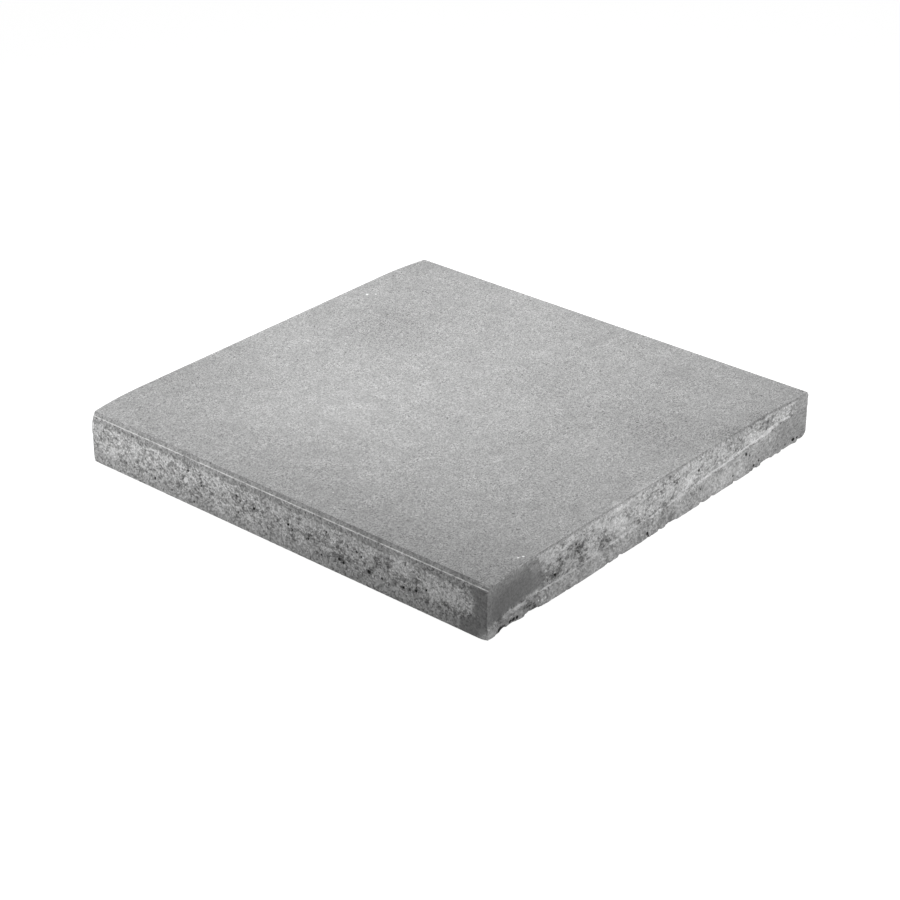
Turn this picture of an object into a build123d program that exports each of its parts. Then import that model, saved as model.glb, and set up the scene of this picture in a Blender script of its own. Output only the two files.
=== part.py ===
from build123d import *
import os
from dataclasses import dataclass
from math import cos, hypot, pi, sin
from typing import Callable

# A pillar cap: one slab of pressed concrete, made in a block machine.
# Two opposite sides were shaped by the mould and are straight and upright.
# The other two were split off their neighbours and are uneven.
# X runs from split face to split face, Y from moulded face to moulded face, Z is up.
# The origin is the middle of the bed face, the one that lies in the mortar.

# Overall sizes, in millimetres
length = 461.0
width = 445.0
thickness = 50.0

# Pressed arris along the top of each moulded face: a steep bevel, then a narrow land
arris_drop = 3.4
arris_run = 1.8
arris_land = 1.0

# Front split face, +X: its corners stand out as ears and its middle is set back
ear_depth = 3.9
ear_length = 62.0
front_hollow_depth = 3.0
front_ledge_step = 2.2
front_foot_depth = 2.0

# Rear split face, -X: its corners are drawn in and its middle swells past them
rear_corner_setback = 1.2
swell_depth = 6.0
swell_length = 62.0
rear_hollow_depth = 2.4
rear_ledge_step = 1.9
rear_foot_depth = 2.6

# Smooth lip that the press head leaves along the top of a split face
lip_height = 3.0

# Bottom corners that crumbled as the slab was split off
crumble_radius = 12.0
crumble_depth = 4.5

# Working allowances
overrun = 8.0
surface_tolerance = 0.02

# Stations of the grid that each split face is drawn through
STATIONS_ALONG = 45
STATIONS_UP = 13

# Each table pairs a place along the face, from -1 at the corner beside the -Y face
# to 1 at the corner beside the +Y face, with a share of the size named above it.

# Height of the ledge, as shares of the thickness
front_ledge_height_shares = (
    (-1.0, 0.22), (-0.91, 0.24), (-0.55, 0.25), (-0.25, 0.31), (0.05, 0.38),
    (0.32, 0.46), (0.50, 0.52), (0.68, 0.59), (0.85, 0.69), (1.0, 0.76),
)
rear_ledge_height_shares = (
    (-1.0, 0.48), (-0.75, 0.55), (-0.40, 0.46), (-0.10, 0.36),
    (0.25, 0.42), (0.60, 0.33), (0.85, 0.25), (1.0, 0.28),
)

# How far the ledge stands out, as shares of the ledge step
front_step_shares = (
    (-1.0, 0.5), (-0.86, 1.3), (-0.62, 1.0), (-0.30, 0.7), (0.05, 0.6),
    (0.35, 0.8), (0.55, 0.6), (0.74, 1.0), (0.86, 0.6), (0.93, 0.1), (1.0, 0.0),
)
rear_step_shares = (
    (-1.0, 0.1), (-0.80, 0.9), (-0.45, 0.6), (-0.10, 1.0),
    (0.30, 0.7), (0.62, 1.1), (0.88, 0.7), (1.0, 0.4),
)

# Depth of the hollow between lip and ledge, as shares of the hollow depth
front_hollow_shares = (
    (-1.0, 0.25), (-0.92, 0.7), (-0.82, 1.0), (-0.68, 0.7), (-0.45, 0.4),
    (-0.15, 0.55), (0.15, 0.35), (0.45, 0.5), (0.72, 0.4), (0.90, 0.5), (1.0, 0.1),
)
rear_hollow_shares = (
    (-1.0, -1.3), (-0.93, -0.9), (-0.80, 0.5), (-0.50, 0.9), (-0.15, 0.5),
    (0.20, 0.9), (0.55, 0.5), (0.80, 1.0), (0.93, 0.6), (1.0, 0.2),
)

# How far the bottom edge stands out past the top edge, as shares of the foot depth
front_foot_shares = (
    (-1.0, -0.25), (-0.97, -0.7), (-0.93, -1.25), (-0.86, -1.3), (-0.79, 0.2),
    (-0.66, 0.9), (-0.45, 1.05), (-0.20, 0.6), (0.20, 0.2), (0.62, 0.1),
    (0.80, -0.9), (0.93, -2.5), (0.97, -1.9), (1.0, -0.2),
)
rear_foot_shares = (
    (-1.0, 1.2), (-0.90, 0.1), (-0.75, -0.8), (-0.55, -0.4), (-0.25, 0.3),
    (0.05, -0.2), (0.40, 0.4), (0.70, -0.3), (0.90, -1.0), (1.0, -1.1),
)

# Loss at the two bottom corners of a split face, as shares of the crumble depth
front_crumble_shares = ((-1.0, 0.33), (1.0, 1.0))
rear_crumble_shares = ((-1.0, 0.05), (1.0, 0.45))


def ease(share):
    """Run from 0 to 1 along half a cosine wave, level at both ends."""
    return (1 - cos(pi * min(max(share, 0), 1))) / 2


def read_shares(table, y):
    """Read a table at a place across the width, eased from each pair to the next."""
    place = y / (width / 2)
    for (start, before), (end, after) in zip(table, table[1:]):
        if place <= end:
            return before + (after - before) * ease((place - start) / (end - start))
    return table[-1][1]


def from_corner(y):
    """Distance along a split face from its nearer corner."""
    return max(width / 2 - abs(y), 0)


def front_edge(y):
    """Top edge of the front face: ears at the corners, eased back to a straight middle."""
    return length / 2 - ear_depth * ease(from_corner(y) / ear_length)


def rear_edge(y):
    """Top edge of the rear face: a parabola out from each corner to a straight middle."""
    left = 1 - min(from_corner(y) / swell_length, 1)
    return length / 2 - rear_corner_setback + swell_depth * (1 - left * left)


@dataclass
class SplitFace:
    """One split face, as distances outwards from the upright plane through the origin."""

    top_edge: Callable
    ledge_height_shares: tuple
    ledge_step: float
    step_shares: tuple
    hollow_depth: float
    hollow_shares: tuple
    foot_depth: float
    foot_shares: tuple
    crumble_shares: tuple

    def ledge_z(self, y):
        """Height of the ledge, the crack that ran along the face as the slab split."""
        return thickness * read_shares(self.ledge_height_shares, y)

    def above(self, y, z):
        """Level with the top edge in the lip, then a hollow down to the ledge."""
        lip = thickness - lip_height
        fall = ease(2 * (lip - z) / (lip - self.ledge_z(y)))
        return self.top_edge(y) - self.hollow_depth * read_shares(self.hollow_shares, y) * fall

    def below(self, y, z):
        """Out at the ledge, eased from there down to the bottom edge."""
        ledge = self.ledge_z(y)
        nose = self.above(y, ledge) + self.ledge_step * read_shares(self.step_shares, y)
        toe = self.top_edge(y) + self.foot_depth * read_shares(self.foot_shares, y)
        return toe + (nose - toe) * ease(z / ledge) - self.crumble(y, z)

    def crumble(self, y, z):
        """Loss at a bottom corner, fading out at the crumble radius."""
        near = 1 - min(hypot(from_corner(y), max(z, 0)) / crumble_radius, 1)
        return crumble_depth * read_shares(self.crumble_shares, y) * near * near


def along(station):
    """Y of a grid station, spaced closer towards the two corners."""
    turn = 2 * station / (STATIONS_ALONG - 1) - 1
    return (width / 2 + overrun) * sin(pi / 2 * turn)


def up(station):
    """Z of a grid station, from under the bed face to over the top face."""
    return (thickness + 2 * overrun) * station / (STATIONS_UP - 1) - overrun


def waste(distance, side):
    """What lies outside a surface: the surface through its grid, run on outwards."""
    grid = [
        [(side * distance(along(j), up(k)), along(j), up(k)) for k in range(STATIONS_UP)]
        for j in range(STATIONS_ALONG)
    ]
    surface = Face.make_surface_from_array_of_points(grid, tol=surface_tolerance)
    return Solid.extrude(surface, Vector(side * length / 4, 0, 0))


def beside_the_ledge(face, side, rim_z):
    """Block that covers a split face from its ledge up or down to a height."""
    ledge = Spline(*[(0, along(j), face.ledge_z(along(j))) for j in range(0, STATIONS_ALONG, 2)])
    start, end = ledge @ 0, ledge @ 1
    rim = Polyline(end, (0, end.Y, rim_z), (0, start.Y, rim_z), start)
    sheet = Face(Wire([*ledge.edges(), *rim.edges()]))
    return Solid.extrude(sheet, Vector(side * length, 0, 0))


def split_off(slab, face, side):
    """Take away what lies outside a split face, above its ledge and then below it."""
    for distance, rim_z in ((face.above, thickness + overrun), (face.below, -overrun)):
        away = waste(distance, side).intersect(beside_the_ledge(face, side, rim_z))
        slab = slab.cut(*away.solids()).solid()
    return slab


def moulded_bar():
    """Section between the moulded faces, with its two pressed arrises, run along X."""
    half = width / 2
    right = [
        (half, 0),
        (half, thickness - arris_drop),
        (half - arris_land, thickness - arris_drop),
        (half - arris_land - arris_run, thickness),
    ]
    left = [(-y, z) for y, z in reversed(right)]
    section = Plane.YZ * make_face(Polyline(*right, *left, close=True))
    return extrude(section, amount=length / 2 + swell_depth + overrun, both=True)


def cap_slab():
    """The whole slab: the moulded bar, less what was split away at each end."""
    front = SplitFace(
        front_edge, front_ledge_height_shares, front_ledge_step, front_step_shares,
        front_hollow_depth, front_hollow_shares, front_foot_depth, front_foot_shares,
        front_crumble_shares,
    )
    rear = SplitFace(
        rear_edge, rear_ledge_height_shares, rear_ledge_step, rear_step_shares,
        rear_hollow_depth, rear_hollow_shares, rear_foot_depth, rear_foot_shares,
        rear_crumble_shares,
    )
    slab = split_off(moulded_bar().solid(), front, 1)
    return split_off(slab, rear, -1)


os.makedirs("parts", exist_ok=True)
export_step(cap_slab(), "parts/cap_slab.step")
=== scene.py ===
import itertools
import math

import bpy
import numpy as np
from bpy.props import FloatProperty, FloatVectorProperty, IntProperty, PointerProperty
from mathutils import Color, Matrix, Vector


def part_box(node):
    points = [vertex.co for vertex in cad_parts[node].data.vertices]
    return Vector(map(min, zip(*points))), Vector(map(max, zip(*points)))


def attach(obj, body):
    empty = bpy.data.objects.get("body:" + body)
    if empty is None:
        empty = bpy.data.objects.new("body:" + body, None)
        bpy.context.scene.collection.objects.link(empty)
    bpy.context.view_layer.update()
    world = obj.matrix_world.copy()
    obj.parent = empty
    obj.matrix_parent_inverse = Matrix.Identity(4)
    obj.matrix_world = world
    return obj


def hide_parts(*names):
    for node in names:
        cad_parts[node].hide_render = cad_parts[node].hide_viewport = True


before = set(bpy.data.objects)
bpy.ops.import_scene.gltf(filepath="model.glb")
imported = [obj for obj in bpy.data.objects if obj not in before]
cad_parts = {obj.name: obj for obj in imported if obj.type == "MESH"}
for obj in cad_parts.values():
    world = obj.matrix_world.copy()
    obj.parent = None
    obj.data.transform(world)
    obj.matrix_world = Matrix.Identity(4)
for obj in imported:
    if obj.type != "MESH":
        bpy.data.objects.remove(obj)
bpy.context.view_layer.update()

bl_info = {
    "name": "Pillar Cap",
    "version": (1, 0, 0),
    "blender": (4, 5, 0),
    "location": "View3D > Sidebar > Pillar Cap",
    "description": "A pressed concrete pillar cap and the plain studio it lies in",
    "category": "Mesh",
}

SLAB_LOW, SLAB_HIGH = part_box("cap_slab")
MM = 0.001

# Gaps between columns beside a corner, as shares of the even gap
CORNER_GAPS = (0.3, 0.4, 0.5, 0.65, 0.8, 0.9)
# How far each ring of the top and bed faces lies inside the one before, as a share of the face
RING_INSET = 0.006
# How often the number of points round the top face and round the bed face is halved inwards
TOP_HALVINGS, BED_HALVINGS = 2, 3
# Points closer than this are one point
WELD_GAP = 0.01 * MM
# Angle between two faces from which their shared edge is shaded sharp
SHARP_ANGLE = math.radians(38)
# The two axes that marks on the top, on the moulded side at -Y and on the front face are given in
TOP_AXES, MOULDED_AXES, FRONT_AXES = (0, 1), (0, 2), (1, 2)
# Square lamps: name, place and width in metres, and power in watts
LAMPS = (
    ("lamp_top", (-0.171, 0.13, 0.60), 0.34, 2.70),
    ("lamp_left", (-0.362, -0.65, 0.32), 0.3, 1.57),
    ("lamp_right", (0.71, 0.198, 0.32), 0.3, 1.80),
)
LAMP_AIM = (0.0, 0.0, 0.03)
# Half the floor's width and how far it lies under the slab
FLOOR_REACH, FLOOR_DROP = 6.0, 0.2 * MM
SENSOR_WIDTH, FAR_CLIP = 36.0, 50.0
WHITE = (1.0, 1.0, 1.0, 1.0)

# Every face is described in shares: place runs from -1 at the corner beside the -Y face
# to 1 at the corner beside the +Y face, and the second number is a share of the size named.

# Height of the ledge along each split face, as shares of the thickness
FRONT_LEDGE_HEIGHTS = (
    (-1.0, 0.22), (-0.91, 0.24), (-0.55, 0.25), (-0.25, 0.31), (0.05, 0.38),
    (0.32, 0.46), (0.50, 0.52), (0.68, 0.59), (0.85, 0.69), (1.0, 0.76),
)
REAR_LEDGE_HEIGHTS = (
    (-1.0, 0.48), (-0.75, 0.55), (-0.40, 0.46), (-0.10, 0.36),
    (0.25, 0.42), (0.60, 0.33), (0.85, 0.25), (1.0, 0.28),
)

# How far the ledge stands out, as shares of the ledge step
FRONT_STEPS = (
    (-1.0, 0.5), (-0.86, 1.3), (-0.62, 1.0), (-0.30, 0.7), (0.05, 0.6),
    (0.35, 0.8), (0.55, 0.6), (0.74, 1.0), (0.86, 0.6), (0.93, 0.1), (1.0, 0.0),
)
REAR_STEPS = (
    (-1.0, 0.1), (-0.80, 0.9), (-0.45, 0.6), (-0.10, 1.0),
    (0.30, 0.7), (0.62, 1.1), (0.88, 0.7), (1.0, 0.4),
)

# Depth of the hollow between lip and ledge, as shares of the hollow depth
FRONT_HOLLOWS = (
    (-1.0, 0.25), (-0.92, 0.7), (-0.82, 1.0), (-0.68, 0.7), (-0.45, 0.4),
    (-0.15, 0.55), (0.15, 0.35), (0.45, 0.5), (0.72, 0.4), (0.90, 0.5), (1.0, 0.1),
)
REAR_HOLLOWS = (
    (-1.0, -1.3), (-0.93, -0.9), (-0.80, 0.5), (-0.50, 0.9), (-0.15, 0.5),
    (0.20, 0.9), (0.55, 0.5), (0.80, 1.0), (0.93, 0.6), (1.0, 0.2),
)

# How far the bottom edge stands out past the top edge, as shares of the foot depth
FRONT_FEET = (
    (-1.0, -0.25), (-0.97, -0.7), (-0.93, -1.25), (-0.86, -1.3), (-0.79, 0.2),
    (-0.66, 0.9), (-0.45, 1.05), (-0.20, 0.6), (0.20, 0.2), (0.62, 0.1),
    (0.80, -0.9), (0.93, -2.5), (0.97, -1.9), (1.0, -0.2),
)
REAR_FEET = (
    (-1.0, 1.2), (-0.90, 0.1), (-0.75, -0.8), (-0.55, -0.4), (-0.25, 0.3),
    (0.05, -0.2), (0.40, 0.4), (0.70, -0.3), (0.90, -1.0), (1.0, -1.1),
)

# Loss at the two bottom corners of a split face, as shares of the crumble depth
FRONT_CRUMBLES = ((-1.0, 0.33), (1.0, 1.0))
REAR_CRUMBLES = ((-1.0, 0.05), (1.0, 0.45))

# Holes left by lumps lost from the moulded side at -Y, carved in and painted dark as shade: X, Z
# and radius, in millimetres
LOST_LUMPS = (
    (103, 14.5, 2.4), (70, 13.5, 1.9), (74, 11.5, 1.4), (50, 10, 1.3), (90, 28, 1.5), (95, 25, 1.3),
    (141, 14.5, 1.7), (148, 15, 1.3), (154.5, 16.5, 1.9), (118, 14, 1.5), (35, 20, 1.4),
    (56, 34, 1.2),
    (-49, 30, 1.6), (-45, 26.5, 1.3), (-29, 25, 1.4), (-93, 24, 1.2), (12, 25, 1.6), (16, 21, 1.3),
    (166, 22, 1.4), (-152, 10.5, 1.5), (-109, 33, 1.2), (-103, 5, 1.3), (-131, 6.5, 1.1),
)
# Lighter and darker clouds: X, Y, Z and radius in millimetres, then how much lighter
CLOUDS = (
    (-190, 0, 50, 13, 0.10), (-200, -85, 50, 11, -0.09), (-60, -55, 50, 170, 0.12),
    (0, 215, 50, 90, 0.05), (-140, 72, 50, 70, -0.10), (30, 92, 50, 65, -0.08),
    (182, 65, 50, 80, -0.12), (66, 26, 50, 55, 0.08),
    (-208, -222, 18, 22, 0.4), (-212, -222, 29, 16, -0.35), (-175, -222, 38, 34, -0.15),
    (-112, -222, 22, 18, -0.2), (-86, -222, 26, 18, -0.25), (-62, -222, 12, 22, 0.3),
    (-38, -222, 29, 15, -0.35), (-28, -222, 11, 22, 0.4), (-2, -222, 23, 20, -0.4),
    (9, -222, 7, 22, 0.3), (26, -222, 18, 16, 0.4), (62, -222, 28, 22, 0.25),
    (115, -222, 29, 15, -0.4), (140, -222, 36, 24, 0.6), (175, -222, 22, 20, 0.4),
    (198, -222, 27, 24, 0.35),
    (229, -222, 2, 15, 0.9), (229, -164, 5, 16, -0.5), (229, -141, 26, 17, -0.5),
    (229, -138, 43, 14, 0.3), (229, -130, 18, 18, -0.6), (229, -124, 28, 15, -0.35),
    (229, -108, 32, 19, -0.6), (229, -78, 8, 20, 0.25), (229, -60, 19, 18, -0.45),
    (229, -52, 45, 14, 0.4), (229, -18, 44, 17, 0.4), (229, -2, 17, 16, 0.35),
    (229, 52, 28, 16, 0.55), (229, 84, 42, 14, -0.4), (229, 96, 9, 24, 0.5),
    (229, 112, 42, 26, -0.3), (229, 122, 6, 18, 0.5), (229, 150, 42, 24, -0.25),
    (229, 169, 36, 14, -0.5),
)
# Pinholes in the top face, dark with painted shade: X, Y and radius, in millimetres
PINHOLES = (
    (113, -185, 1.5), (190, -190, 1.5), (118, -150, 1.4), (133, 133, 1.5), (147, 132, 1.4),
    (-18, -192, 1.4), (-120, -214, 1.2),
)
# White specks of lime on the top face: X, Y and radius, in millimetres
LIME_SPECKS = (
    (-216, 120, 1.7), (-210, 126, 1.2), (219, -172, 1.2), (221, -168, 1.4), (224, 5, 0.8),
    (34, -190, 0.9), (131, 64, 0.8), (-62, 38, 0.8),
)
# Pale grains in the front split face: Y, Z and radius, in millimetres
SPLIT_GRAINS = (
    (92, 29, 1.4), (123, 28.5, 1.3), (35, 15.5, 1.2), (-152, 5, 1.3), (-156, 6, 1.1),
    (-148, 5.5, 1.0), (-191, 7.5, 1.3),
)
# Pale grains in the moulded side at -Y: X, Z and radius, in millimetres
MOULDED_GRAINS = ((-41, 29, 1.4), (-6, 30, 1.3), (-100, 36, 1.2), (108, 12, 1.3))
# Undercut chips in the front split face, most in its bottom edge, painted in as dark shade without
# a carved notch: Y, Z and radius, in millimetres
DARK_CHIPS = (
    (-204, 2.0, 5.2), (-199, 2.6, 2.1), (-191, 2.8, 2.5), (-187, 3.0, 2.5), (-183, 3.2, 2.1),
    (-12, 4.6, 1.9), (-11, 2.0, 1.5), (-133, 19, 1.5), (-107, 36, 1.5), (132, 21, 1.7),
    (137, 18, 1.3),
    (145, 4.5, 1.9), (153, 6.5, 1.6), (113, 7.5, 1.5), (62, 34, 1.8), (163, 33.5, 1.5),
    (209, 4.5, 2.3), (214, 5.0, 1.6), (197, 4.0, 1.4), (64, 15, 1.3),
)
# The one pale stone in the moulded side at -Y: X, Z and radius, in millimetres
PALE_STONE = (-113, 23, 3.4)

# How pale the crest of the front ledge is painted, as painted highlight where the ledge catches
# light, on the skin and on the broken concrete
FRONT_CRESTS = (
    (-1.0, 0.0), (-0.93, 0.1), (-0.89, 0.45), (-0.80, 0.6), (-0.76, 0.55), (-0.60, 0.6),
    (-0.45, 0.35), (-0.20, 0.5), (0.10, 0.55), (0.30, 0.5), (0.50, 0.9), (0.85, 1.0), (0.89, 0.2),
    (1.0, 0.0),
)
# Half the height of that crest, as shares of a millimetre
FRONT_CREST_HEIGHTS = (
    (-1.0, 1.0), (-0.90, 1.5), (-0.80, 1.5), (-0.75, 0.8), (0.0, 0.9), (0.68, 0.9),
    (0.76, 1.5), (0.86, 1.3), (1.0, 0.8),
)


def maker(kind, convert, **rest):
    """A function that makes a kind of property from a name, a default and a description."""
    def make(name, default, description):
        return kind(name=name, default=convert(default), description=description, **rest)
    return make


# Defaults are lengths in millimetres, angles in degrees and colours as one grey
length = maker(
    FloatProperty, lambda size: size * MM, unit="LENGTH", subtype="DISTANCE", precision=5, min=0.0)
angle = maker(FloatProperty, math.radians, unit="ROTATION", subtype="ANGLE")
share = maker(FloatProperty, float, subtype="FACTOR", min=0.0, max=1.0)
strength = maker(FloatProperty, float, min=0.0, max=4.0)
colour = maker(
    FloatVectorProperty, lambda grey: (grey,) * 3, subtype="COLOR", size=3, min=0.0, max=1.0)
whole = maker(IntProperty, int, min=16)


class CapSizes(bpy.types.PropertyGroup):
    """Sizes of the slab's large form, and how finely its surface is divided."""

    arris_drop: length("Arris drop", 3.4, "Height of the pressed arris")
    arris_run: length("Arris run", 1.8, "Width of the arris bevel, seen from above")
    arris_land: length("Arris land", 1.0, "Width of the flat strip beside the bevel")
    corner_reach: length("Corner reach", 230.5, "Distance of the front corners from the middle")
    ear_depth: length("Ear depth", 3.9, "How far the front corners stand out")
    ear_length: length("Ear length", 62.0, "Length of the curve from ear to middle")
    rear_setback: length("Rear setback", 1.2, "How far the rear corners are drawn in")
    swell_depth: length("Swell depth", 6.0, "How far the rear middle stands past its corners")
    swell_length: length("Swell length", 62.0, "Length of the curve from rear corner to middle")
    lip_height: length("Lip height", 3.0, "Height of the smooth lip on a split face")
    front_hollow: length("Front hollow", 3.0, "Depth of the hollow above the front ledge")
    front_ledge: length("Front ledge", 2.2, "How far the front ledge stands out")
    front_foot: length("Front foot", 2.0, "Size that the front bottom edge varies by")
    rear_hollow: length("Rear hollow", 2.4, "Depth of the hollow above the rear ledge")
    rear_ledge: length("Rear ledge", 1.9, "How far the rear ledge stands out")
    rear_foot: length("Rear foot", 2.6, "Size that the rear bottom edge varies by")
    crumble_radius: length("Crumble radius", 12.0, "Reach of the loss at a bottom corner")
    crumble_depth: length("Crumble depth", 4.5, "Depth of the loss at a bottom corner")
    columns_long: whole("Columns along X", 416, "Columns along X, divisible by 8")
    columns_wide: whole("Columns along Y", 400, "Columns along Y, divisible by 8")
    rows: whole("Rows", 42, "Rows up a side, below the arris")


class CapRelief(bpy.types.PropertyGroup):
    """Sizes of the fine relief that is worked into the slab's surface."""

    band_height: length("Band height", 6.4, "Height of the smooth mortar band under the arris")
    foot_band: length("Foot band", 9.0, "Height of the closer band above the bed face")
    ragged: length("Ragged", 1.8, "How far the border of a smooth part wanders")
    grain: length("Grain", 2.9, "Size of the coarse grains in the core")
    grain_rise: length("Grain rise", 0.6, "How far a grain stands above the gaps round it")
    void: length("Void", 3.0, "Size of the voids between the grains")
    pit_depth: length("Pit depth", 1.4, "Depth of those voids")
    patch: length("Patch", 26.0, "Size of the patches where the core is more open or closed")
    break_size: length("Break size", 13.0, "Size of the lumps on a broken face")
    break_height: length("Break height", 2.4, "Height of the lumps on a broken face")
    break_rise: length("Break rise", 0.9, "How far the lumps stand out past the face's mean")
    nick_size: length("Nick size", 5.5, "Length of the nicks in a broken bottom edge")
    nick_depth: length("Nick depth", 1.3, "Depth of the nicks in a broken bottom edge")
    wear: length("Wear", 0.4, "Depth that the upright corner edges are rounded to")
    corner_wear: length("Corner wear", 0.8, "Depth that the bottom corners are rounded to")
    skin_relief: length("Skin relief", 0.12, "Unevenness of the smooth parts of the sides")
    front_cast: length("Front cast", 64.0, "Length of the smooth cast part at the front corner")
    side_cast: length("Side cast", 14.0, "Length of the smooth part at a moulded side's front end")


class ConcreteLook(bpy.types.PropertyGroup):
    """Colours and finish of the concrete, with its painted shade and highlights, as linear greys.
    """

    mortar: colour("Mortar", 0.425, "Fine mortar of the top face, the arris and the bands")
    # The core is lighter high up the sides and darker near the bed face: partly its own tone,
    # partly painted light from above
    core: colour("Core", 0.66, "Dry coarse concrete high up on the sides")
    damp: colour("Damp", 0.52, "The same concrete near the bed face, where it dries last")
    skin: colour("Skin", 0.24, "Dense cement skin in the cast corners")
    # Void and deep are painted shade: the dark of pits, gaps, hollows, lost lumps and undercut
    # chips
    void: colour("Void", 0.12, "Shade in the pits and gaps of the core")
    deep: colour("Deep", 0.03, "Shade in the undercut chips of the front bottom edge")
    sand: colour("Sand", 0.72, "Pale sand grains")
    # Dark of flint grains, and the painted shade in the pinholes of the mortar
    flint: colour("Flint", 0.20, "Dark sand grains")
    # Pale of worn edges, also used as painted highlight on the crest of the ledge, the land line
    # under the arris and the front top rim
    worn: colour("Worn", 0.84, "Worn edges and the crest of the ledge")
    lime: colour("Lime", 0.95, "White specks and the one pale stone")
    roughness: share("Roughness", 0.92, "Roughness of the dry surface")
    speckle: strength("Speckle", 1.2, "Strength of the fine speckle on the top face")
    grit: strength("Grit", 1.35, "Strength of the fine speckle on the moulded sides")
    split_grit: strength("Split grit", 1.0, "Strength of the fine speckle on the split sides")
    split_shade: share("Split shade", 0.07, "How much darker the split faces are")
    clouding: share("Clouding", 0.30, "Strength of the broad mottling")
    lip_shade: share("Lip shade", 0.30, "How much darker the top rim of a split face is")
    # Painted shade on the top face near its front edges
    rim_shade: share("Rim shade", 0.14, "How much darker the top face is near its front edges")


class StudioLook(bpy.types.PropertyGroup):
    """Camera, floor and the even sky."""

    lens: FloatProperty(name="Lens", default=95.1, description="Focal length", unit="CAMERA")
    place: FloatVectorProperty(
        name="Camera place", default=(1.25004, -1.42008, 1.01036), size=3,
        subtype="TRANSLATION", unit="LENGTH", precision=5, description="Camera position",
    )
    azimuth: angle("Azimuth", 41.441, "Direction the camera stands in, from -Y towards +X")
    elevation: angle("Elevation", 28.085, "Angle that the camera looks down at")
    roll: angle("Roll", -0.523, "Turn of the camera about its own axis")
    floor: colour("Floor", 0.40, "Pale floor, as the lamps light it")
    backdrop: share("Backdrop", 0.90, "White that the camera alone sees on the floor")
    sky: share("Sky", 0.22, "Even light from all round")


def ease(t):
    """Half a cosine wave from 0 to 1, level at both ends and constant past them."""
    return (1 - np.cos(np.pi * np.clip(t, 0, 1))) / 2


def rise(value, start, span):
    """Eases from 0 to 1 as a value in metres passes a start, over a span, in millimetres."""
    return ease((value / MM - start) / span)


def fall(value, end, span):
    """Eases from 1 to 0 as a value in metres comes to an end, over a span, in millimetres."""
    return ease((end - value / MM) / span)


def read_shares(table, place):
    """A table of pairs read at each place, eased from each pair to the next."""
    places, shares = np.array(table).T
    step = np.clip(np.searchsorted(places, place, side="right") - 1, 0, len(places) - 2)
    part = (place - places[step]) / (places[step + 1] - places[step])
    return shares[step] + (shares[step + 1] - shares[step]) * ease(part)


def scramble(cells, seed):
    """A share from 0 to 1 for each whole-number cell, by multiplying and folding its bits."""
    primes = np.array([73856093, 19349663, 83492791], dtype=np.int64)
    mixed = np.bitwise_xor.reduce(cells.astype(np.int64) * primes, axis=-1) + seed * 2654435761
    bits = mixed.astype(np.uint64)
    for shift, factor in ((np.uint64(15), 0xD168AAAD), (np.uint64(13), 0xAF723597)):
        bits = (bits ^ (bits >> shift)) * np.uint64(factor) & np.uint64(0xFFFFFFFF)
    bits = bits ^ (bits >> np.uint64(16))
    return (bits & np.uint64(0xFFFFFF)).astype(float) / 0xFFFFFF


def noise(points, size, seed):
    """Values from -1 to 1: random at the corners of a cubic lattice, eased between them."""
    scaled = points / size
    base = np.floor(scaled)
    part = scaled - base
    part = part * part * (3 - 2 * part)
    total = np.zeros(len(points))
    for corner in itertools.product((0, 1), repeat=3):
        weight = np.prod(np.where(corner, part, 1 - part), axis=1)
        total += weight * scramble(base + corner, seed)
    return total * 2 - 1


def fractal(points, size, seed, octaves=3, gain=0.5):
    """Noise with finer noise added, each octave half the size and a share of the height."""
    height, reach, total = 1.0, 0.0, np.zeros(len(points))
    for octave in range(octaves):
        total += height * noise(points, size / 2 ** octave, seed + octave)
        reach += height
        height *= gain
    return total / reach


def grains(points, size, seed):
    """Distance of the nearest of one random point per lattice cell, and that point's tone."""
    scaled = points / size
    base = np.floor(scaled)
    nearest, tone = np.full(len(points), np.inf), np.zeros(len(points))
    for step in itertools.product((-1, 0, 1), repeat=3):
        cell = base + step
        centre = cell + np.stack([scramble(cell, seed + axis) for axis in range(3)], axis=1)
        away = np.linalg.norm(scaled - centre, axis=1)
        tone = np.where(away < nearest, scramble(cell, seed + 3), tone)
        nearest = np.minimum(nearest, away)
    return nearest, tone


class SplitFace:
    """One split face, as distances outwards from the upright plane through the origin."""

    def __init__(
        self, top_edge, ledge_heights, ledge, steps, hollow, hollows, foot, feet, crumbles,
    ):
        self.top_edge = top_edge
        self.ledge_heights, self.ledge, self.steps = ledge_heights, ledge, steps
        self.hollow, self.hollows = hollow, hollows
        self.foot, self.feet = foot, feet
        self.crumbles = crumbles

    def ledge_z(self, form, y):
        """Height of the ledge, the crack that ran along the face as the slab split."""
        return form.thickness * read_shares(self.ledge_heights, y / form.half_width)

    def reach(self, form, y, z):
        """Lip level with the top edge, hollow below it, ledge that stands out, then the foot."""
        place = y / form.half_width
        ledge_z = self.ledge_z(form, y)
        lip_z = form.thickness - form.sizes.lip_height
        edge = self.top_edge(form, y)
        hollow = self.hollow * read_shares(self.hollows, place)
        above = edge - hollow * ease(2 * (lip_z - z) / (lip_z - ledge_z))
        nose = edge - hollow + self.ledge * read_shares(self.steps, place)
        toe = edge + self.foot * read_shares(self.feet, place)
        crumble = read_shares(self.crumbles, place) * form.crumbling(y, z)
        below = toe + (nose - toe) * ease(z / ledge_z) - crumble
        return above + (below - above) * ease((ledge_z - z) / MM)


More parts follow.
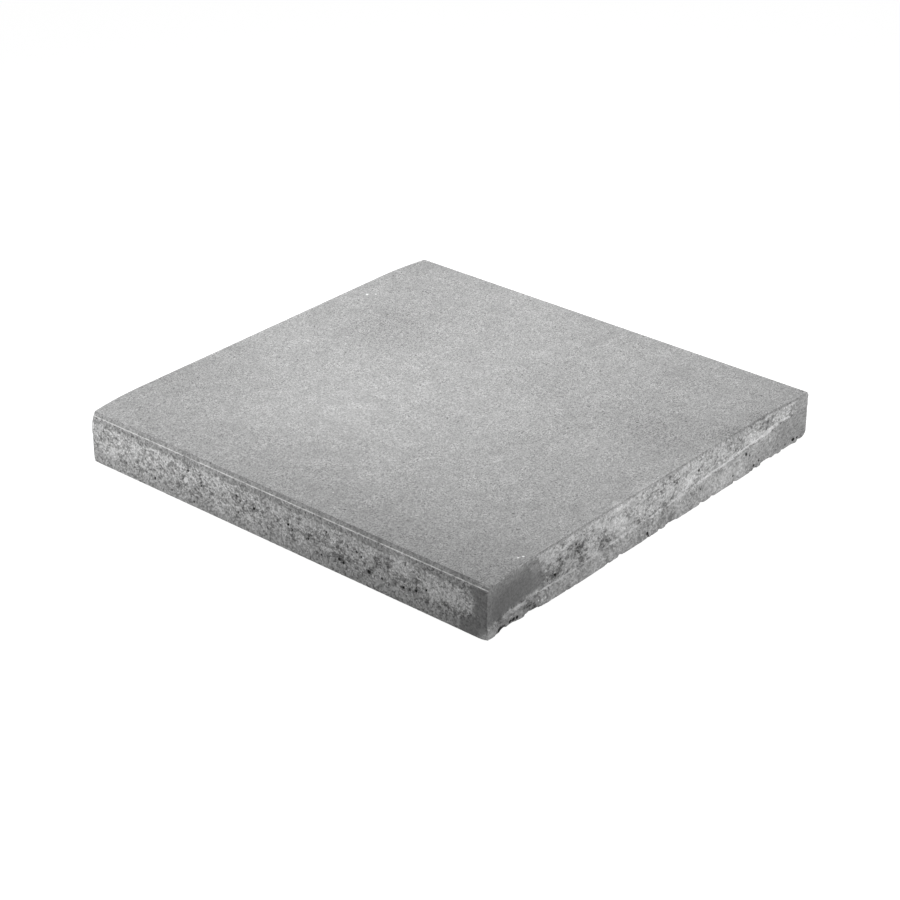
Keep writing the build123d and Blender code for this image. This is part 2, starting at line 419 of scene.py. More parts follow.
class SlabForm:
    """The slab's large shape, from the sizes and from the frame's box."""

    def __init__(self, sizes):
        self.sizes = sizes
        self.half_width = (SLAB_HIGH[1] - SLAB_LOW[1]) / 2
        self.thickness = SLAB_HIGH[2] - SLAB_LOW[2]
        self.front = SplitFace(
            front_edge, FRONT_LEDGE_HEIGHTS, sizes.front_ledge, FRONT_STEPS, sizes.front_hollow,
            FRONT_HOLLOWS, sizes.front_foot, FRONT_FEET, FRONT_CRUMBLES,
        )
        self.rear = SplitFace(
            rear_edge, REAR_LEDGE_HEIGHTS, sizes.rear_ledge, REAR_STEPS, sizes.rear_hollow,
            REAR_HOLLOWS, sizes.rear_foot, REAR_FEET, REAR_CRUMBLES,
        )

    def from_corner(self, y):
        """Distance along a split face from its nearer corner."""
        return np.maximum(self.half_width - np.abs(y), 0)

    def crumbling(self, y, z):
        """Loss at a bottom corner: a parabola from the full depth down to 0 at its radius."""
        away = np.hypot(self.from_corner(y), np.maximum(z, 0))
        near = 1 - np.minimum(away / self.sizes.crumble_radius, 1)
        return self.sizes.crumble_depth * near * near

    def x_at(self, share_along, y, z):
        """X at a share of the way from the rear split face to the front one."""
        front = self.front.reach(self, y, z)
        rear = -self.rear.reach(self, y, z)
        return rear + (front - rear) * share_along


def front_edge(form, y):
    """Top edge of the front face: ears at the corners, eased back to a straight middle."""
    sizes = form.sizes
    return sizes.corner_reach - sizes.ear_depth * ease(form.from_corner(y) / sizes.ear_length)


def rear_edge(form, y):
    """Top edge of the rear face: a parabola out from each corner to a straight middle."""
    sizes = form.sizes
    left = 1 - np.minimum(form.from_corner(y) / sizes.swell_length, 1)
    return sizes.corner_reach - sizes.rear_setback + sizes.swell_depth * (1 - left * left)


def side_profile(form):
    """Points (inset from the side, height) up one moulded side: wall, land and bevel."""
    sizes = form.sizes
    wall_top = form.thickness - sizes.arris_drop
    wall = [(0.0, wall_top * row / sizes.rows) for row in range(sizes.rows + 1)]
    land = [(sizes.arris_land, wall_top)]
    bevel = [
        (sizes.arris_land + sizes.arris_run * part, wall_top + sizes.arris_drop * part)
        for part in (1 / 3, 2 / 3, 1.0)
    ]
    return np.array(wall + land + bevel)


def stations(count):
    """Shares from 0 to 1 in even gaps, but for gaps that narrow towards either end."""
    gaps = np.ones(count)
    gaps[:len(CORNER_GAPS)] = CORNER_GAPS
    gaps[-len(CORNER_GAPS):] = CORNER_GAPS[::-1]
    return np.concatenate([[0], np.cumsum(gaps)]) / gaps.sum()


def grid_faces(rows, columns, start=0):
    """Quads of a grid whose points are stored row by row, all turned the same way."""
    row, column = np.meshgrid(np.arange(rows - 1), np.arange(columns - 1), indexing="ij")
    corner = start + (row * columns + column).ravel()
    return np.stack([corner, corner + 1, corner + columns + 1, corner + columns], axis=1)


def moulded_side(form, side):
    """A moulded side: the profile carried along X, at side -1 or 1 of the slab."""
    profile = side_profile(form)
    along = stations(form.sizes.columns_long)
    inset, z = (np.repeat(values, len(along)) for values in profile.T)
    y = side * (form.half_width - inset)
    x = form.x_at(np.tile(along, len(profile)), y, z)
    faces = grid_faces(len(profile), len(along))
    return np.stack([x, y, z], axis=1), faces if side < 0 else faces[:, ::-1]


def split_side(form, side):
    """A split side: rows that join the two moulded profiles, even in height between them."""
    profile = side_profile(form)
    across = 2 * stations(form.sizes.columns_wide) - 1
    even_z = np.linspace(0, form.thickness, len(profile))
    inset = profile[:, :1]
    reach_in = rise((1 - np.abs(across)) * form.half_width, 0, 6)
    y = across * (form.half_width - inset)
    z = profile[:, 1:] + (even_z[:, None] - profile[:, 1:]) * reach_in
    y, z = y.ravel(), z.ravel()
    x = form.x_at(np.full(len(y), (side + 1) / 2), y, z)
    faces = grid_faces(len(profile), len(across))
    return np.stack([x, y, z], axis=1), faces if side > 0 else faces[:, ::-1]


def ring(columns, rows, step, inset):
    """Shares (a, b) round a rectangle, each side in its stations, inset a little from its rim."""
    a = stations(columns)[::step][:-1]
    b = stations(rows)[::step][:-1]
    low_a, low_b = np.zeros(len(b)), np.zeros(len(a))
    shares_a = np.concatenate([a, low_a + 1, 1 - a, low_a])
    shares_b = np.concatenate([low_b, b, low_b + 1, 1 - b])
    return inset + (1 - 2 * inset) * np.stack([shares_a, shares_b], axis=1)


def sheet(form, z, inset, halvings):
    """The top or bed face: rings whose edge count halves inwards, then an even grid."""
    columns, rows = form.sizes.columns_long, form.sizes.columns_wide
    points, faces, start = [], [], 0
    for level in range(halvings):
        step = 2 ** level
        outer = ring(columns, rows, step, RING_INSET * level)
        points.append(outer)
        count = len(outer)
        inner_count = count // 2
        inner = start + count
        even = np.arange(0, count, 2)
        middle, after = even + 1, (even + 2) % count
        near, far = even // 2, (even // 2 + 1) % inner_count
        if level + 1 < halvings:
            near, far = inner + near, inner + far
        else:
            near, far = inner + rim_order(columns // (2 * step), rows // (2 * step), near, far)
        faces.append(np.stack([start + even, start + middle, near], axis=1))
        faces.append(np.stack([start + middle, start + after, far], axis=1))
        faces.append(np.stack([start + middle, far, near], axis=1))
        start = inner
    step = 2 ** halvings
    inmost = RING_INSET * halvings
    a, b = (inmost + (1 - 2 * inmost) * stations(count)[::step] for count in (columns, rows))
    grid_a, grid_b = np.meshgrid(a, b)
    points.append(np.stack([grid_a.ravel(), grid_b.ravel()], axis=1))
    quads = grid_faces(len(b), len(a), start)
    shares = np.concatenate(points)
    y = (2 * shares[:, 1] - 1) * (form.half_width - inset)
    height = np.full(len(y), z)
    place = np.stack([form.x_at(shares[:, 0], y, height), y, height], axis=1)
    return place, quads, np.concatenate(faces)


def rim_order(columns, rows, *indices):
    """Turns an index counted round the rim into the index of that point in a stored grid."""
    wide = columns + 1
    bottom = np.arange(columns)
    right = np.arange(rows) * wide + columns
    top = rows * wide + columns - np.arange(columns)
    left = (rows - np.arange(rows)) * wide
    rim = np.concatenate([bottom, right, top, left])
    return np.array([rim[index] for index in indices])


def slab_surface(form):
    """All six faces of the slab, each closed against the next along the same points."""
    inset = form.sizes.arris_land + form.sizes.arris_run
    sheets = [face(form, side) for side in (-1, 1) for face in (moulded_side, split_side)]
    sheets.append(sheet(form, form.thickness, inset, TOP_HALVINGS))
    bed, *faces = sheet(form, 0.0, 0.0, BED_HALVINGS)
    sheets.append((bed, *(face[:, ::-1] for face in faces)))
    points, polygons, start = [], [], 0
    for place, *faces in sheets:
        points.append(place)
        for face in faces:
            polygons += (face + start).tolist()
        start += len(place)
    return weld(np.concatenate(points), polygons)


def weld(points, polygons):
    """Joins points of neighbouring faces that lie in the same place."""
    keys = np.round(points / WELD_GAP).astype(np.int64)
    _, first, index = np.unique(keys, axis=0, return_index=True, return_inverse=True)
    index = index.ravel()
    return points[first], [[int(index[corner]) for corner in face] for face in polygons]


class Relief:
    """What is worked into the surface: how far in each point lies, and how it looks there."""

    def __init__(self, form, sizes, points):
        self.form, self.sizes, self.points = form, sizes, points
        self.x, self.y, self.z = points.T
        self.place = self.y / form.half_width
        self.front = self.x > 0
        edge = np.abs(form.x_at(np.where(self.front, 1.0, 0.0), self.y, self.z))
        self.from_split = np.maximum(edge - np.abs(self.x), 0)
        self.from_moulded = form.from_corner(self.y)
        self.turn = self.outward()
        self.split = np.abs(self.turn[:, 0]) > 0.7
        self.side = np.abs(self.turn[:, 2]) < 0.72
        self.above_ledge = self.z - np.where(
            self.front, form.front.ledge_z(form, self.y), form.rear.ledge_z(form, self.y))
        self.below_arris = form.thickness - form.sizes.arris_drop - self.z
        self.on_near_side = (self.y < 0) * (self.from_moulded < MM)
        wander = fractal(points, 9 * MM, 11) + 0.5 * noise(points, 2.2 * MM, 19)
        self.ragged = sizes.ragged * wander
        self.cloud = self.clouds()

    def outward(self):
        """Unit direction outwards: square to a face, and turned halfway at an edge."""
        middle = self.form.thickness / 2
        centred = self.points - np.array([0, 0, middle])
        from_flat = middle - np.abs(centred[:, 2])
        inside = np.stack([self.from_split, self.from_moulded, from_flat], axis=1)
        weight = np.exp(-np.maximum(inside, 0) / (0.8 * MM)) * np.sign(centred)
        return weight / np.linalg.norm(weight, axis=1)[:, None]

    def smooth(self):
        """Where the skin is closed mortar: 1 on the flat faces, the bands and the cast parts."""
        on_side = np.where(self.split, self.smooth_on_split(), self.smooth_on_moulded())
        return np.where(self.side, on_side, np.where(self.turn[:, 2] > 0, 1.0, 0.7))

    def from_foot_corner(self):
        """Distance from the nearest bottom corner."""
        return np.sqrt(self.from_split ** 2 + self.from_moulded ** 2 + self.z ** 2)

    def smooth_on_moulded(self):
        """A band under the arris, a closer band at the foot, and the front end of the side."""
        band_height = self.sizes.band_height * (1 + 0.15 * rise(self.x, 70, 60))
        band = rise(band_height - self.below_arris + self.ragged, -0.7, 1.4)
        foot = 0.6 * rise(self.sizes.foot_band - self.z + 1.6 * self.ragged, -2, 4)
        foot += 0.4 * fall(self.z, 4, 3)
        return np.maximum.reduce([band, foot, self.side_cast()])

    def side_cast(self):
        """The smooth front end of a moulded side, longer near the arris and near the bed face."""
        reach = self.sizes.side_cast * (1 + 0.25 * rise(self.z, 32, 8) + 1.1 * fall(self.z, 19, 10))
        cast = rise(reach - self.from_split + 2.6 * self.ragged, -3.5, 7)
        return np.where(self.front, cast, 0.0)

    def smooth_on_split(self):
        """The lip that the press head left, and the parts that the mould's corners shaped."""
        drop = self.form.thickness - self.z
        lip = rise(self.form.sizes.lip_height - drop + 0.5 * self.ragged, -0.6, 1.2)
        below = 0.5 + 0.35 * fractal(self.points, 22 * MM, 29, 2)
        below = below * fall(self.above_ledge, 0, 3)
        return np.maximum.reduce([0.85 * lip, below, self.front_cast(), self.far_cast()])

    def front_cast(self):
        """Smooth part above the ledge, from the front corner along the front split face."""
        reach = self.sizes.front_cast * (1 + 0.14 * fall(self.z, 42, 16))
        from_end = (self.place + 1) * self.form.half_width
        ends = rise(reach - from_end + 4 * self.ragged, -10, 20)
        above = rise(self.above_ledge + 0.6 * self.ragged, 1, 2.5)
        rear = 0.8 * fall(self.from_moulded - 2 * self.ragged, 26, 9)
        return np.where(self.front, ends * above, rear)

    def far_cast(self):
        """Smooth part below the ledge, at the far end of the front split face."""
        from_end = (1 - self.place) * self.form.half_width
        ends = fall(from_end - 3 * self.ragged, 50, 20)
        below = fall(self.above_ledge - self.ragged, -2, 3)
        corner = 0.9 * fall(from_end - 2 * self.ragged, 26, 8)
        return np.where(self.front, np.maximum(ends * below, corner), 0.0)

    def skin(self):
        """Where the smooth parts are dense dark cement, most of all at the front corner."""
        split = self.front_cast() * fall(self.z - self.form.thickness, 4, 29)
        split = split * (0.6 + 0.4 * rise(self.from_moulded, 2, 10))
        split = split * (1 - 0.35 * rise(self.from_moulded, 55, 25))
        split = split * (1 + 0.25 * fractal(self.points, 16 * MM, 37))
        far = self.far_cast() * fall(self.above_ledge, 1, 3)
        split = np.where(self.front, split + 0.16 * far, 0.1 * split)
        moulded = 0.8 * self.side_cast() * rise(self.below_arris, 0, 2)
        chipped = fall(self.from_foot_corner() - self.ragged, 9, 4)
        skin = np.where(self.split, split, moulded) * (1 - 0.7 * chipped)
        return np.where(self.side, skin, 0.0)

    def crest(self):
        """How pale the crest of the ledge is painted as highlight, more in some stretches than in
        others.
        """
        crest = read_shares(FRONT_CRESTS, self.place) * self.split
        crest = np.where(self.front, crest, 0.4 * crest)
        return np.clip(crest * (0.9 + 0.5 * noise(self.points, 7 * MM, 97)), 0, 1)

    def crest_height(self):
        """Half the height of the crest's pale streak, in millimetres."""
        return np.where(self.front, read_shares(FRONT_CREST_HEIGHTS, self.place), 0.9)

    def openness(self):
        """How open the core is: patches a few centimetres across, more open in dark clouds."""
        patch = self.sizes.patch
        forward = rise(self.x, -110, 120)
        moulded = fractal(self.points * (1, 1, 1.3), 0.75 * patch, 57) * (0.22 + 0.32 * forward)
        broken = 0.75 * fractal(self.points * (1, 1, 1.2), 0.7 * patch, 61)
        low = fall(self.z, 26, 14) * rise(self.z, 7, 5)
        patches = np.where(self.split, broken, moulded + 0.08 * low)
        return np.clip(0.5 + patches - 0.5 * self.cloud, 0, 1)

    def clouds(self):
        """How much lighter the concrete is: a half cosine wave, wider than high, at each centre."""
        lighter = np.zeros(len(self.x))
        for *centre, radius, change in CLOUDS:
            away = np.linalg.norm((self.points - np.array(centre) * MM) * (1, 1, 1.3), axis=1)
            lighter += change * ease(1 - away / (radius * MM))
        return lighter

    def pale_stone(self):
        """Where the one pale stone shows in the front moulded side, from 0 to 1."""
        x, z, radius = PALE_STONE
        away = np.hypot(self.x - x * MM, self.z - z * MM) / (radius * MM)
        return ease(3 * (1.25 - away)) * self.on_near_side

    def lost_lumps(self):
        """Where a lump of the core has dropped out of the front moulded side, from 0 to 1."""
        lost = np.zeros(len(self.x))
        for x, z, radius in LOST_LUMPS:
            away = np.hypot(self.x - x * MM, self.z - z * MM) + 0.4 * self.ragged
            lost = np.maximum(lost, ease(1.6 * (1 - away / (radius * MM))))
        return lost * self.on_near_side


def carve(form, sizes, points):
    """Moves each point in along its direction, and gives the shares that the colours follow."""
    relief = Relief(form, sizes, points)
    smooth = relief.smooth()
    rough = 1 - smooth
    rim, tone = grains(points, sizes.grain, 31)
    openness = relief.openness()
    voids = fractal(points, sizes.void, 43, 2, 0.7)
    missing = 0.7 * ease((0.6 * openness - 0.62 - voids) / 0.25)
    missing = np.maximum(missing, relief.lost_lumps())
    depth = rough * (sizes.grain_rise * rim * rim + sizes.pit_depth * missing)
    lumps = sizes.break_height * fractal(points * (1, 0.8, 1), sizes.break_size, 71, 4, 0.6)
    lumps = lumps * (0.25 + 0.75 * rise(points[:, 2], 0, 9))
    depth += np.where(relief.split, rough * (lumps - sizes.break_rise), 0.0)
    stone_foot = (PALE_STONE[1] - PALE_STONE[2]) * MM
    stone = relief.pale_stone()
    depth += stone * (0.4 * np.maximum(points[:, 2] - stone_foot, 0) - depth)
    corner_wear = sizes.corner_wear * np.exp(-relief.from_foot_corner() / (2.5 * MM))
    depth += np.where(relief.front, corner_wear, 0.2 * corner_wear)
    nicks = ease((noise(points, sizes.nick_size, 91) - 0.05) / 0.5)
    nicks = nicks * np.exp(-points[:, 2] / (0.5 * sizes.nick_size)) * relief.split
    depth += nicks * sizes.nick_depth
    depth += smooth * sizes.skin_relief * (0.5 + 0.5 * noise(points, 2.5 * MM, 83))
    wear = np.where(relief.front, sizes.wear, 0.4 * sizes.wear)
    wear = wear * np.exp(-(relief.from_split + relief.from_moulded) / (1.5 * MM))
    depth = np.where(relief.turn[:, 2] > 0.7, wear, depth + wear)
    moved = np.clip(points - relief.turn * depth[:, None], SLAB_LOW, SLAB_HIGH)
    return moved, {
        "smooth": smooth, "open": openness, "tone": tone,
        # hollow: where painted shade darkens lost lumps and nicks
        "hollow": np.clip(rough * missing + 0.6 * nicks, 0, 1),
        "skin": relief.skin(), "ledge": relief.above_ledge, "crest": relief.crest(),
        "streak": relief.crest_height(), "cloud": relief.cloud,
    }


def put(name, data):
    """A new object that carries the data, linked to the scene."""
    holder = bpy.data.objects.new(name, data)
    bpy.context.scene.collection.objects.link(holder)
    return holder


def make_mesh(name, points, polygons, attributes):
    """A mesh object from arrays, with one named share per point."""
    mesh = bpy.data.meshes.new(name)
    mesh.from_pydata(points.tolist(), [], polygons)
    for key, values in attributes.items():
        attribute = mesh.attributes.new(key, "FLOAT", "POINT")
        attribute.data.foreach_set("value", values.astype(np.float32))
    mesh.shade_smooth()
    mesh.set_sharp_from_angle(angle=SHARP_ANGLE)
    mesh.validate()
    return put(name, mesh)


def two_sided(operation):
    """The two methods of an operator, for a Value on its left and for one on its right."""
    return (
        lambda self, other: self.maths(operation, self, other),
        lambda self, other: self.maths(operation, other, self),
    )


class Value:
    """A number carried by a socket, so that shader maths reads as ordinary expressions."""

    def __init__(self, nodes, socket):
        self.nodes, self.socket = nodes, socket

    def maths(self, operation, *operands, clamp=False):
        """One Math node on the operands, each a number or a Value."""
        sockets = dict(enumerate(operands))
        return self.nodes.add("ShaderNodeMath", sockets, operation=operation, use_clamp=clamp)

    def also(self, output):
        """Another output of the node that this one comes from."""
        return Value(self.nodes, self.socket.node.outputs[output])

    __add__, __radd__ = two_sided("ADD")
    __sub__, __rsub__ = two_sided("SUBTRACT")
    __mul__, __rmul__ = two_sided("MULTIPLY")
    __truediv__, __rtruediv__ = two_sided("DIVIDE")

    def size(self):
        """The number without its sign."""
        return self.maths("ABSOLUTE", self)

    def clamp(self):
        """Kept between 0 and 1."""
        return self.maths("ADD", self, 0.0, clamp=True)


class Nodes:
    """The node tree of one material or of the world."""

    def __init__(self, owner):
        owner.use_nodes = True
        self.tree = owner.node_tree
        self.tree.nodes.clear()

    def add(self, kind, inputs, output=0, **settings):
        """Adds a node, sets it up, fills or links its sockets, and gives one of its outputs."""
        node = self.tree.nodes.new(kind)
        for key, value in settings.items():
            setattr(node, key, value)
        for key, value in inputs.items():
            if isinstance(value, Value):
                self.tree.links.new(value.socket, node.inputs[key])
            else:
                is_colour = isinstance(value, Color)
                node.inputs[key].default_value = (*value, 1.0) if is_colour else value
        return Value(self, node.outputs[output]) if node.outputs else node

    def ramp(self, value, low, high):
        """A value's rise from 0 to 1 between two levels, smooth at both ends."""
        levels = {"Value": value, "From Min": low, "From Max": high}
        return self.add("ShaderNodeMapRange", levels, interpolation_type="SMOOTHSTEP")

    def fade(self, value, low, high):
        """The same rise, between two lengths in millimetres."""
        return self.ramp(value, low * MM, high * MM)

    def mix(self, factor, first, second):
        """Colour that goes from the first to the second as the factor goes from 0 to 1."""
        sockets = {"Factor": factor, 6: first, 7: second}
        return self.add("ShaderNodeMix", sockets, 2, data_type="RGBA")

    def shade(self, value, tint):
        """A colour darkened or lightened by a number, without a change of hue."""
        return self.add("ShaderNodeVectorMath", {0: tint, "Scale": value}, operation="SCALE")

    def noise(self, place, size, detail=2.0, roughness=0.5):
        """Noise whose features are about the given size, in metres."""
        return self.add("ShaderNodeTexNoise", {
            "Vector": place, "Scale": 1 / size, "Detail": detail, "Roughness": roughness,
        })

    def cells(self, place, size):
        """A grey of its own for each cell of about the given size, like grains of sand."""
        return self.add("ShaderNodeTexVoronoi", {"Vector": place, "Scale": 1 / size}, "Color")

    def specks(self, place, spacing, radius):
        """1 inside round dots of a radius, scattered about a spacing apart, and 0 outside."""
        cell = {"Vector": place, "Scale": 1 / spacing}
        away = self.add("ShaderNodeTexVoronoi", cell, "Distance")
        return self.ramp(away, radius / spacing, 0.6 * radius / spacing)

    def attribute(self, name):
        """One of the mesh's own shares."""
        return self.add("ShaderNodeAttribute", {}, "Fac", attribute_name=name)

    def axes(self, place):
        """The three coordinates of a place, each as a Value."""
        x = self.add("ShaderNodeSeparateXYZ", {"Vector": place}, "X")
        return x, x.also("Y"), x.also("Z")

    def stretch(self, place, factors):
        """A place whose coordinates are multiplied, so that a pattern on it is drawn out."""
        return self.add("ShaderNodeVectorMath", {0: place, 1: factors}, operation="MULTIPLY")

    def near(self, place, centre, reach):
        """1 at a point of the piece, falling smoothly to 0 at a reach from it."""
        ends = {0: place, 1: centre}
        away = self.add("ShaderNodeVectorMath", ends, "Value", operation="DISTANCE")
        return self.ramp(away, reach, 0.0)


def concrete(look, form):
    """Dry pressed concrete: fine speckled mortar, coarse pale core, dark voids in painted shade,
    with painted highlights on the crest and edges.
    """
    material = bpy.data.materials.new("concrete")
    nodes = Nodes(material)
    place = nodes.add("ShaderNodeTexCoord", {}, "Object")
    x, y, z = nodes.axes(place)
    shares = ("smooth", "open", "tone", "hollow", "skin", "ledge", "crest", "streak", "cloud")
    smooth, open_, tone, hollow, skin, ledge, crest, streak, cloud = map(nodes.attribute, shares)
    rough = 1 - smooth
    side = nodes.fade(z, 49.9, 48.5)
    pressed = nodes.stretch(place, (0.85, 0.7, 1.0))

    clouds = nodes.noise(place, 80 * MM, 2.0, 0.55)
    blotches = nodes.noise(pressed, 13 * MM, 2.0, 0.6)
    lumps = nodes.noise(pressed, 3.2 * MM, 1.0, 0.5)
    sand = nodes.cells(place, 0.75 * MM)
    grit = nodes.cells(place, 1.5 * MM)
    # Pinholes painted dark in the mortar: painted shade in small holes
    pinholes = 0.4 * nodes.specks(place, 5.5 * MM, 0.8 * MM)
    pinholes = pinholes + 0.9 * nodes.specks(place, 12 * MM, 1.2 * MM)
    pits = nodes.specks(place, 3.4 * MM, 0.85 * MM)
    pores = nodes.noise(pressed, 4.5 * MM, 3.0, 0.75)

    mortar = nodes.mix(pinholes.clamp(), look.mortar, look.flint)
    # Lighter up the sides, darker near the bed face: partly the concrete's own tone, partly painted
    # light from above
    dry = nodes.fade(z, 0, 36)
    core = nodes.mix(dry, look.damp, look.core)
    core = nodes.mix(nodes.ramp(tone, 0.70, 1.0) * 0.5, core, look.sand)
    # Painted shade in the gaps between grains and in the pits of the core
    gaps = nodes.ramp(pores - 0.17 * open_, 0.40, 0.31)
    core = nodes.mix(gaps * (0.2 + 0.7 * open_), core, look.void)
    core = nodes.mix(pits * (0.1 + 0.9 * open_), core, look.void)
    tint = nodes.mix(smooth, core, mortar)
    tint = nodes.mix(skin, tint, look.skin)
    # Painted shade in the hollows where lumps were lost and in the nicks
    tint = nodes.mix(nodes.ramp(hollow, 0.2, 1.0) * 0.8, tint, look.void)

    on_split = side * nodes.ramp(y.size(), form.half_width, form.half_width - 1.5 * MM)
    contrast = look.grit + (look.split_grit - look.grit) * on_split
    contrast = contrast * side * (1 - 0.6 * skin) * (1 + 0.15 * smooth * (1 - on_split))
    level = 1 + contrast * ((grit - 0.5) + 0.45 * (lumps - 0.5))
    patchy = (1 - side) * (0.3 + 1.4 * blotches)
    level = level + look.speckle * patchy * ((sand - 0.5) + 0.1 * (lumps - 0.5))
    level = level + 0.10 * (1 - side) * (blotches - 0.5)
    level = level + 0.10 * side * smooth
    level = level + look.clouding * (clouds + 0.6 * blotches * (1 + 1.6 * rough) - 0.8)
    level = level - 0.45 * rough * (open_ - 0.5)
    level = level * (1 - look.split_shade * rough * on_split)
    level = level + cloud * (0.5 + blotches) * (1 - 0.35 * rough)
    # Painted shade towards the front corner: darker near the -Y edge, more towards +X, and the top
    # darker along its +X edge
    shaded = nodes.fade(y, -135, -215) * nodes.fade(x, -160, 80)
    shaded = shaded + 0.3 * nodes.fade(x, 150, 225) * (1 - side)
    level = level * (1 - look.rim_shade * shaded)
    lip_z = form.thickness - (1.2 + 1.6 * nodes.fade(y, 90, 150)) * MM * (0.5 + lumps)
    lip = nodes.fade(z - lip_z, -0.5, 0.5) * nodes.fade(y, -185, -150)
    lip = lip * nodes.fade(y, 214, 204)
    level = level * (1 - look.lip_shade * lip * on_split)
    tint = nodes.shade(level, tint)

    # Painted highlight: a pale streak along the crest of the ledge, where it catches light from
    # above
    wander = ledge + 1.0 * MM * (lumps - 0.5)
    crest = crest * nodes.ramp(wander.size() / (streak * MM), 1.0, 0.3)
    pale = nodes.shade(0.9 + 0.3 * grit, tuple(look.worn))
    tint = nodes.mix(crest, tint, pale)
    # Painted highlight: a pale line along the flat land under the arris of each moulded side
    wall_top = form.thickness - form.sizes.arris_drop
    line = nodes.fade((z - wall_top + 0.1 * MM).size(), 0.55, 0.25)
    line = line * nodes.ramp(y.size(), form.half_width - 1.2 * MM, form.half_width - 0.9 * MM)
    line = line * nodes.ramp(lumps, 0.2, 0.5) * (0.45 + 0.5 * nodes.ramp(blotches, 0.35, 0.6))
    tint = nodes.mix(line, tint, pale)
    # Worn pale and painted highlight: a pale line along the top edge of the front split face at its
    # cast corner
    rim = nodes.fade((z - form.thickness + 0.9 * MM).size(), 0.85, 0.4)
    rim = rim * nodes.fade(x, 215, 218) * nodes.fade(y, -150, -170)
    rim = rim * nodes.ramp(y, -form.half_width, MM - form.half_width) * nodes.ramp(lumps, 0.3, 0.55)
    tint = nodes.mix(0.6 * rim, tint, pale)
    stone_x, stone_z, stone_radius = (size * MM for size in PALE_STONE)
    stone = nodes.near(place, (stone_x, -form.half_width, stone_z), 1.3 * stone_radius)
    tint = nodes.mix(nodes.ramp(stone * (0.5 + pores), 0.15, 0.45), tint, look.lime)
    on_front = on_split * nodes.fade(x, 200, 210)
    on_near = side * nodes.fade(y, -200, -210)
    uneven = 0.4 + 1.2 * lumps + 0.9 * (grit - 0.5)
    # Small marks: pinholes, undercut chips and lost lumps in painted shade; lime specks and pale
    # grains in the concrete's own colour
    for marks, axes, where, grey in (
        (PINHOLES, TOP_AXES, 0.7 * (1 - side), look.flint),
        (LIME_SPECKS, TOP_AXES, 1 - side, look.lime),
        (SPLIT_GRAINS, FRONT_AXES, on_front, look.lime),
        (MOULDED_GRAINS, MOULDED_AXES, on_near, look.lime),
        (DARK_CHIPS, FRONT_AXES, on_front, look.deep),
        (LOST_LUMPS, MOULDED_AXES, on_near, look.deep),
    ):
        flat = nodes.stretch(place, [float(axis in axes) for axis in range(3)])
        for first, second, radius in marks:
            spot = np.zeros(3)
            spot[list(axes)] = first * MM, second * MM
            mark = nodes.near(flat, spot, 1.3 * radius * MM) * uneven
            tint = nodes.mix(nodes.ramp(mark, 0.25, 0.45) * where, tint, grey)

    height = (grit + 2 * lumps) * (0.05 + 0.3 * side + 0.8 * rough)
    bump = nodes.add("ShaderNodeBump", {
        "Strength": 0.6, "Distance": 0.6 * MM, "Height": height,
    })
    shader = nodes.add("ShaderNodeBsdfPrincipled", {
        "Base Color": tint, "Roughness": look.roughness, "Specular IOR Level": 0.25,
        "Normal": bump,
    })
    nodes.add("ShaderNodeOutputMaterial", {"Surface": shader})
    return material


class CAP_OT_slab(bpy.types.Operator):
    """Make the concrete slab"""

    bl_idname = "cap.slab"
    bl_label = "Concrete slab"

    def execute(self, context):
        form = SlabForm(context.scene.cap_sizes)
        points, polygons = slab_surface(form)
        points, attributes = carve(form, context.scene.cap_relief, points)
        piece = make_mesh("concrete_slab", points, polygons, attributes)
        piece.data.materials.append(concrete(context.scene.concrete_look, form))
        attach(piece, "root")
        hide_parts("cap_slab")
        return {"FINISHED"}


def soft_box(name, place, size, power):
    """A square lamp that faces the aim, unseen by the camera itself."""
    lamp = bpy.data.lights.new(name, "AREA")
    lamp.size, lamp.energy = size, power
    holder = put(name, lamp)
    holder.location = place
    holder.rotation_euler = (Vector(LAMP_AIM) - Vector(place)).to_track_quat("-Z", "Y").to_euler()
    holder.visible_camera = False


def camera(look):
    """A camera at its place, its axes turned by azimuth, elevation and roll."""
    data = bpy.data.cameras.new("camera")
    data.lens, data.sensor_width, data.clip_end = look.lens, SENSOR_WIDTH, FAR_CLIP
    holder = put("camera", data)
    turn = Matrix.Translation(look.place)
    tilt = math.pi / 2 - look.elevation
    for radians, axis in ((look.azimuth, "Z"), (tilt, "X"), (look.roll, "Z")):
        turn = turn @ Matrix.Rotation(radians, 4, axis)
    holder.matrix_world = turn
    bpy.context.scene.camera = holder


def seen_by_eye(nodes):
    """1 for rays that a viewer sees directly, in gloss or through glass."""
    seen = nodes.add("ShaderNodeLightPath", {}, "Is Camera Ray")
    return (seen + seen.also("Is Glossy Ray") + seen.also("Is Transmission Ray")).clamp()


def pale_floor(look):
    """Floor that keeps a soft shadow and otherwise shows white."""
    material = bpy.data.materials.new("floor")
    nodes = Nodes(material)
    shader = nodes.add("ShaderNodeBsdfDiffuse", {"Color": look.floor})
    glow = nodes.add("ShaderNodeEmission", {
        "Color": WHITE, "Strength": seen_by_eye(nodes) * look.backdrop,
    })
    both = nodes.add("ShaderNodeAddShader", {0: shader, 1: glow})
    nodes.add("ShaderNodeOutputMaterial", {"Surface": both})
    return material


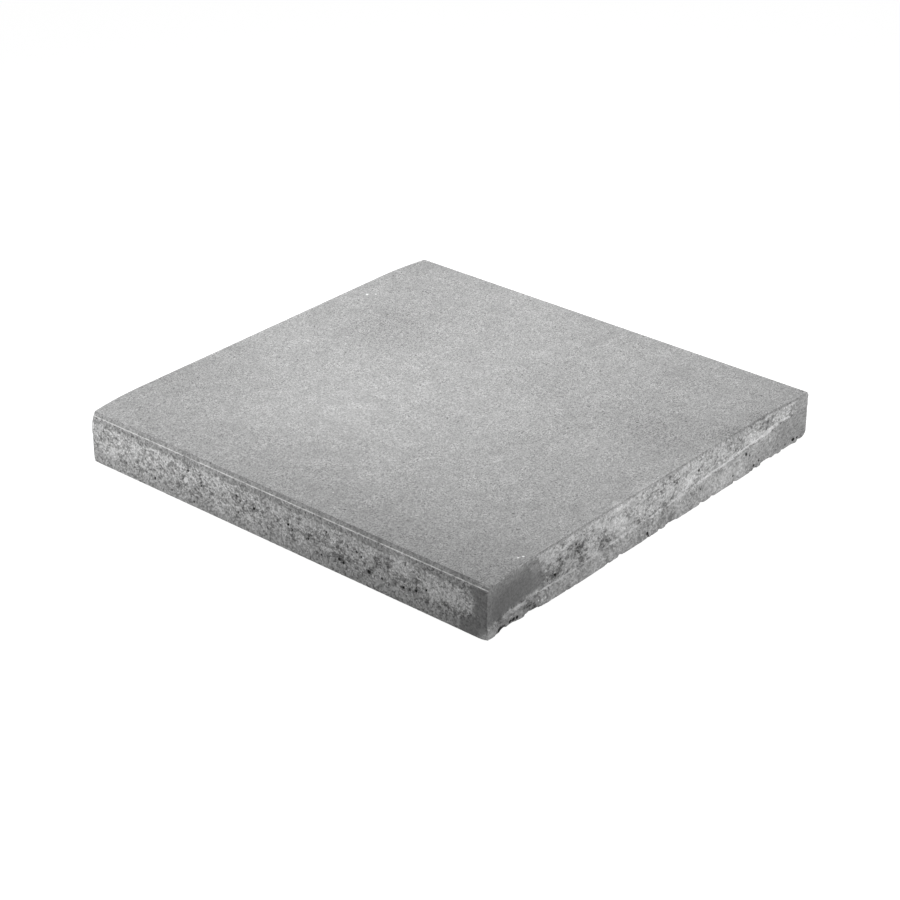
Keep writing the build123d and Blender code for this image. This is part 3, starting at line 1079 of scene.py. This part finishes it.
class CAP_OT_studio(bpy.types.Operator):
    """Make the camera, the soft lamps, the pale floor and the even sky"""

    bl_idname = "cap.studio"
    bl_label = "Studio"

    def execute(self, context):
        look = context.scene.studio_look
        camera(look)
        for lamp in LAMPS:
            soft_box(*lamp)
        corners = np.array([(-1, -1, 0), (1, -1, 0), (1, 1, 0), (-1, 1, 0)]) * FLOOR_REACH
        corners[:, 2] = SLAB_LOW[2] - FLOOR_DROP
        floor = make_mesh("floor", corners, [(0, 1, 2, 3)], {})
        floor.data.materials.append(pale_floor(look))
        world = bpy.data.worlds.new("sky")
        context.scene.world = world
        nodes = Nodes(world)
        level = look.sky + (1 - look.sky) * seen_by_eye(nodes)
        sky = nodes.add("ShaderNodeBackground", {"Strength": level, "Color": WHITE})
        nodes.add("ShaderNodeOutputWorld", {"Surface": sky})
        context.scene.view_settings.view_transform = "Standard"
        return {"FINISHED"}


class CAP_PT_panel(bpy.types.Panel):
    """The cap's pieces and sizes, in the sidebar"""

    bl_idname = "CAP_PT_panel"
    bl_label = "Pillar Cap"
    bl_space_type = "VIEW_3D"
    bl_region_type = "UI"
    bl_category = "Pillar Cap"

    def draw(self, context):
        for operator in OPERATORS:
            self.layout.operator(operator.bl_idname)
        for name in GROUPS:
            group = getattr(context.scene, name)
            for key in group.bl_rna.properties.keys():
                if key not in ("name", "rna_type"):
                    self.layout.prop(group, key)


GROUPS = {
    "cap_sizes": CapSizes, "cap_relief": CapRelief,
    "concrete_look": ConcreteLook, "studio_look": StudioLook,
}
OPERATORS = (CAP_OT_studio, CAP_OT_slab)


def register():
    for cls in (*GROUPS.values(), *OPERATORS, CAP_PT_panel):
        bpy.utils.register_class(cls)
    for name, cls in GROUPS.items():
        setattr(bpy.types.Scene, name, PointerProperty(type=cls))


def unregister():
    for name in GROUPS:
        delattr(bpy.types.Scene, name)
    for cls in (CAP_PT_panel, *OPERATORS, *GROUPS.values()):
        bpy.utils.unregister_class(cls)


def main():
    register()
    bpy.ops.cap.studio()
    bpy.ops.cap.slab()


if __name__ == "__main__":
    main()
